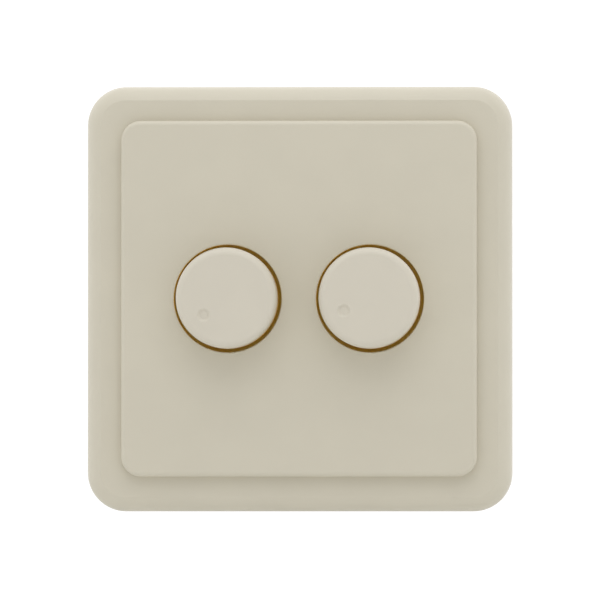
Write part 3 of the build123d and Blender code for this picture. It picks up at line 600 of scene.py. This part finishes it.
def lamp_mark(x, z):
    """The lamp symbol: a circle with a cross in it."""
    radius = 1.7 * MM
    reach = radius * math.sqrt(0.5)
    circle = arc((x, z), radius, 0, 360, 32)
    falling = [(x - reach, z + reach), (x + reach, z - reach)]
    rising = [(x - reach, z - reach), (x + reach, z + reach)]
    return [circle, falling, rising]


def wave_mark(x, z):
    """The alternating-current symbol."""
    half = 1.9 * MM
    height = 0.75 * MM
    steps = 24
    wave = []
    for step in range(steps + 1):
        share = step / steps
        wave.append((x - half + 2 * half * share, z - height * math.sin(2 * math.pi * share)))
    return [wave]


def back_marks(made):
    """Raised symbols in the housing's sunk panel: a lamp by each outer terminal, a wave by the middle one."""
    left, middle, right = TERMINAL_X
    lines = lamp_mark(left, MARK_PANEL_Z) + wave_mark(middle, MARK_PANEL_Z) + lamp_mark(right, MARK_PANEL_Z)
    foot = HOUSING_BACK - MARK_PANEL_DEPTH - MARK_MARGIN
    top = HOUSING_BACK - MARK_MARGIN
    for number, points in enumerate(lines, start=1):
        rings = stroke(points, MARK_WIDTH, foot, top)
        piece = add_mesh(f"back_mark_{number}", made["black_housing"], *swept(rings), smooth=False)
        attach(piece, "insert")


# ---- stage -------------------------------------------------------------------------------------------


def floor():
    """A pale table top below the object. It ends just behind it, so that it stays out of the front view."""
    shader = Shader("studio_floor", roughness=0.9)
    shader.color(shader.mix(shader.noise(0.5), (0.80, 0.80, 0.79), (0.82, 0.82, 0.81)))
    outline = [
        (-FLOOR_HALF_WIDTH, FLOOR_FRONT, 0),
        (FLOOR_HALF_WIDTH, FLOOR_FRONT, 0),
        (FLOOR_HALF_WIDTH, FLOOR_BACK, 0),
        (-FLOOR_HALF_WIDTH, FLOOR_BACK, 0),
    ]
    mesh = bpy.data.meshes.new("floor")
    mesh.from_pydata(outline, [], [(0, 1, 2, 3)])
    mesh.materials.append(shader.material)
    piece = bpy.data.objects.new("floor", mesh)
    piece.location.z = FLOOR_HEIGHT
    bpy.context.scene.collection.objects.link(piece)


def room():
    """A white room, bright round the object, dimmer on the camera's side and dimmest there near the floor."""
    world = bpy.data.worlds.new("room")
    bpy.context.scene.world = world
    world.use_nodes = True
    tree = world.node_tree
    parts = tree.nodes.new("ShaderNodeSeparateXYZ")
    tree.links.new(tree.nodes.new("ShaderNodeTexCoord").outputs["Generated"], parts.inputs[0])
    height = parts.outputs["Z"]
    front = smooth_change(tree, height, *FRONT_HEIGHTS, FRONT_LOW_LIGHT, FRONT_HIGH_LIGHT)
    around = smooth_change(tree, height, *AROUND_HEIGHTS, AROUND_LOW_LIGHT, AROUND_HIGH_LIGHT)
    strength = smooth_change(tree, parts.outputs["Y"], *FRONT_TO_AROUND, front, around)
    background = tree.nodes["Background"]
    background.inputs["Color"].default_value = (1, 1, 1, 1)
    tree.links.new(strength, background.inputs["Strength"])


def softbox(name, place, size, power):
    """A square area light that faces the object."""
    lamp = bpy.data.lights.new(name, "AREA")
    lamp.shape = "SQUARE"
    lamp.size = size
    lamp.energy = power
    piece = bpy.data.objects.new(name, lamp)
    piece.location = place
    piece.rotation_euler = (-Vector(place)).to_track_quat("-Z", "Y").to_euler()
    bpy.context.scene.collection.objects.link(piece)


def camera():
    """A long lens that looks at the object from CAMERA_DISTANCE."""
    lens = bpy.data.cameras.new("camera")
    lens.sensor_width = SENSOR_WIDTH
    lens.lens = SENSOR_WIDTH * CAMERA_DISTANCE / VIEW_WIDTH
    lens.clip_start = 0.1
    piece = bpy.data.objects.new("camera", lens)
    side = math.radians(CAMERA_SIDE_ANGLE)
    rise = math.radians(CAMERA_RISE_ANGLE)
    away = Vector((math.sin(side) * math.cos(rise), -math.cos(side) * math.cos(rise), math.sin(rise)))
    piece.location = Vector(CAMERA_AIM) + CAMERA_DISTANCE * away
    piece.rotation_euler = (-away).to_track_quat("-Z", "Y").to_euler()
    bpy.context.scene.collection.objects.link(piece)
    bpy.context.scene.camera = piece


def stage():
    """The room, its light, the floor and the camera, with how the picture turns light into colour."""
    scene = bpy.context.scene
    scene.view_settings.view_transform = "Standard"
    scene.cycles.diffuse_bounces = 8
    room()
    softbox("ceiling_light", CEILING_LIGHT_PLACE, CEILING_LIGHT_SIZE, CEILING_LIGHT_POWER)
    floor()
    camera()


# ---- the script --------------------------------------------------------------------------------------


def corners(bounds):
    """A box's two corners as plain lists of numbers."""
    return [list(corner) for corner in bounds]


def main():
    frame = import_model()
    made = dress(frame["nodes"])
    threads(made)
    return_springs(made)
    choke_windings(made)
    back_marks(made)
    stage()


main()
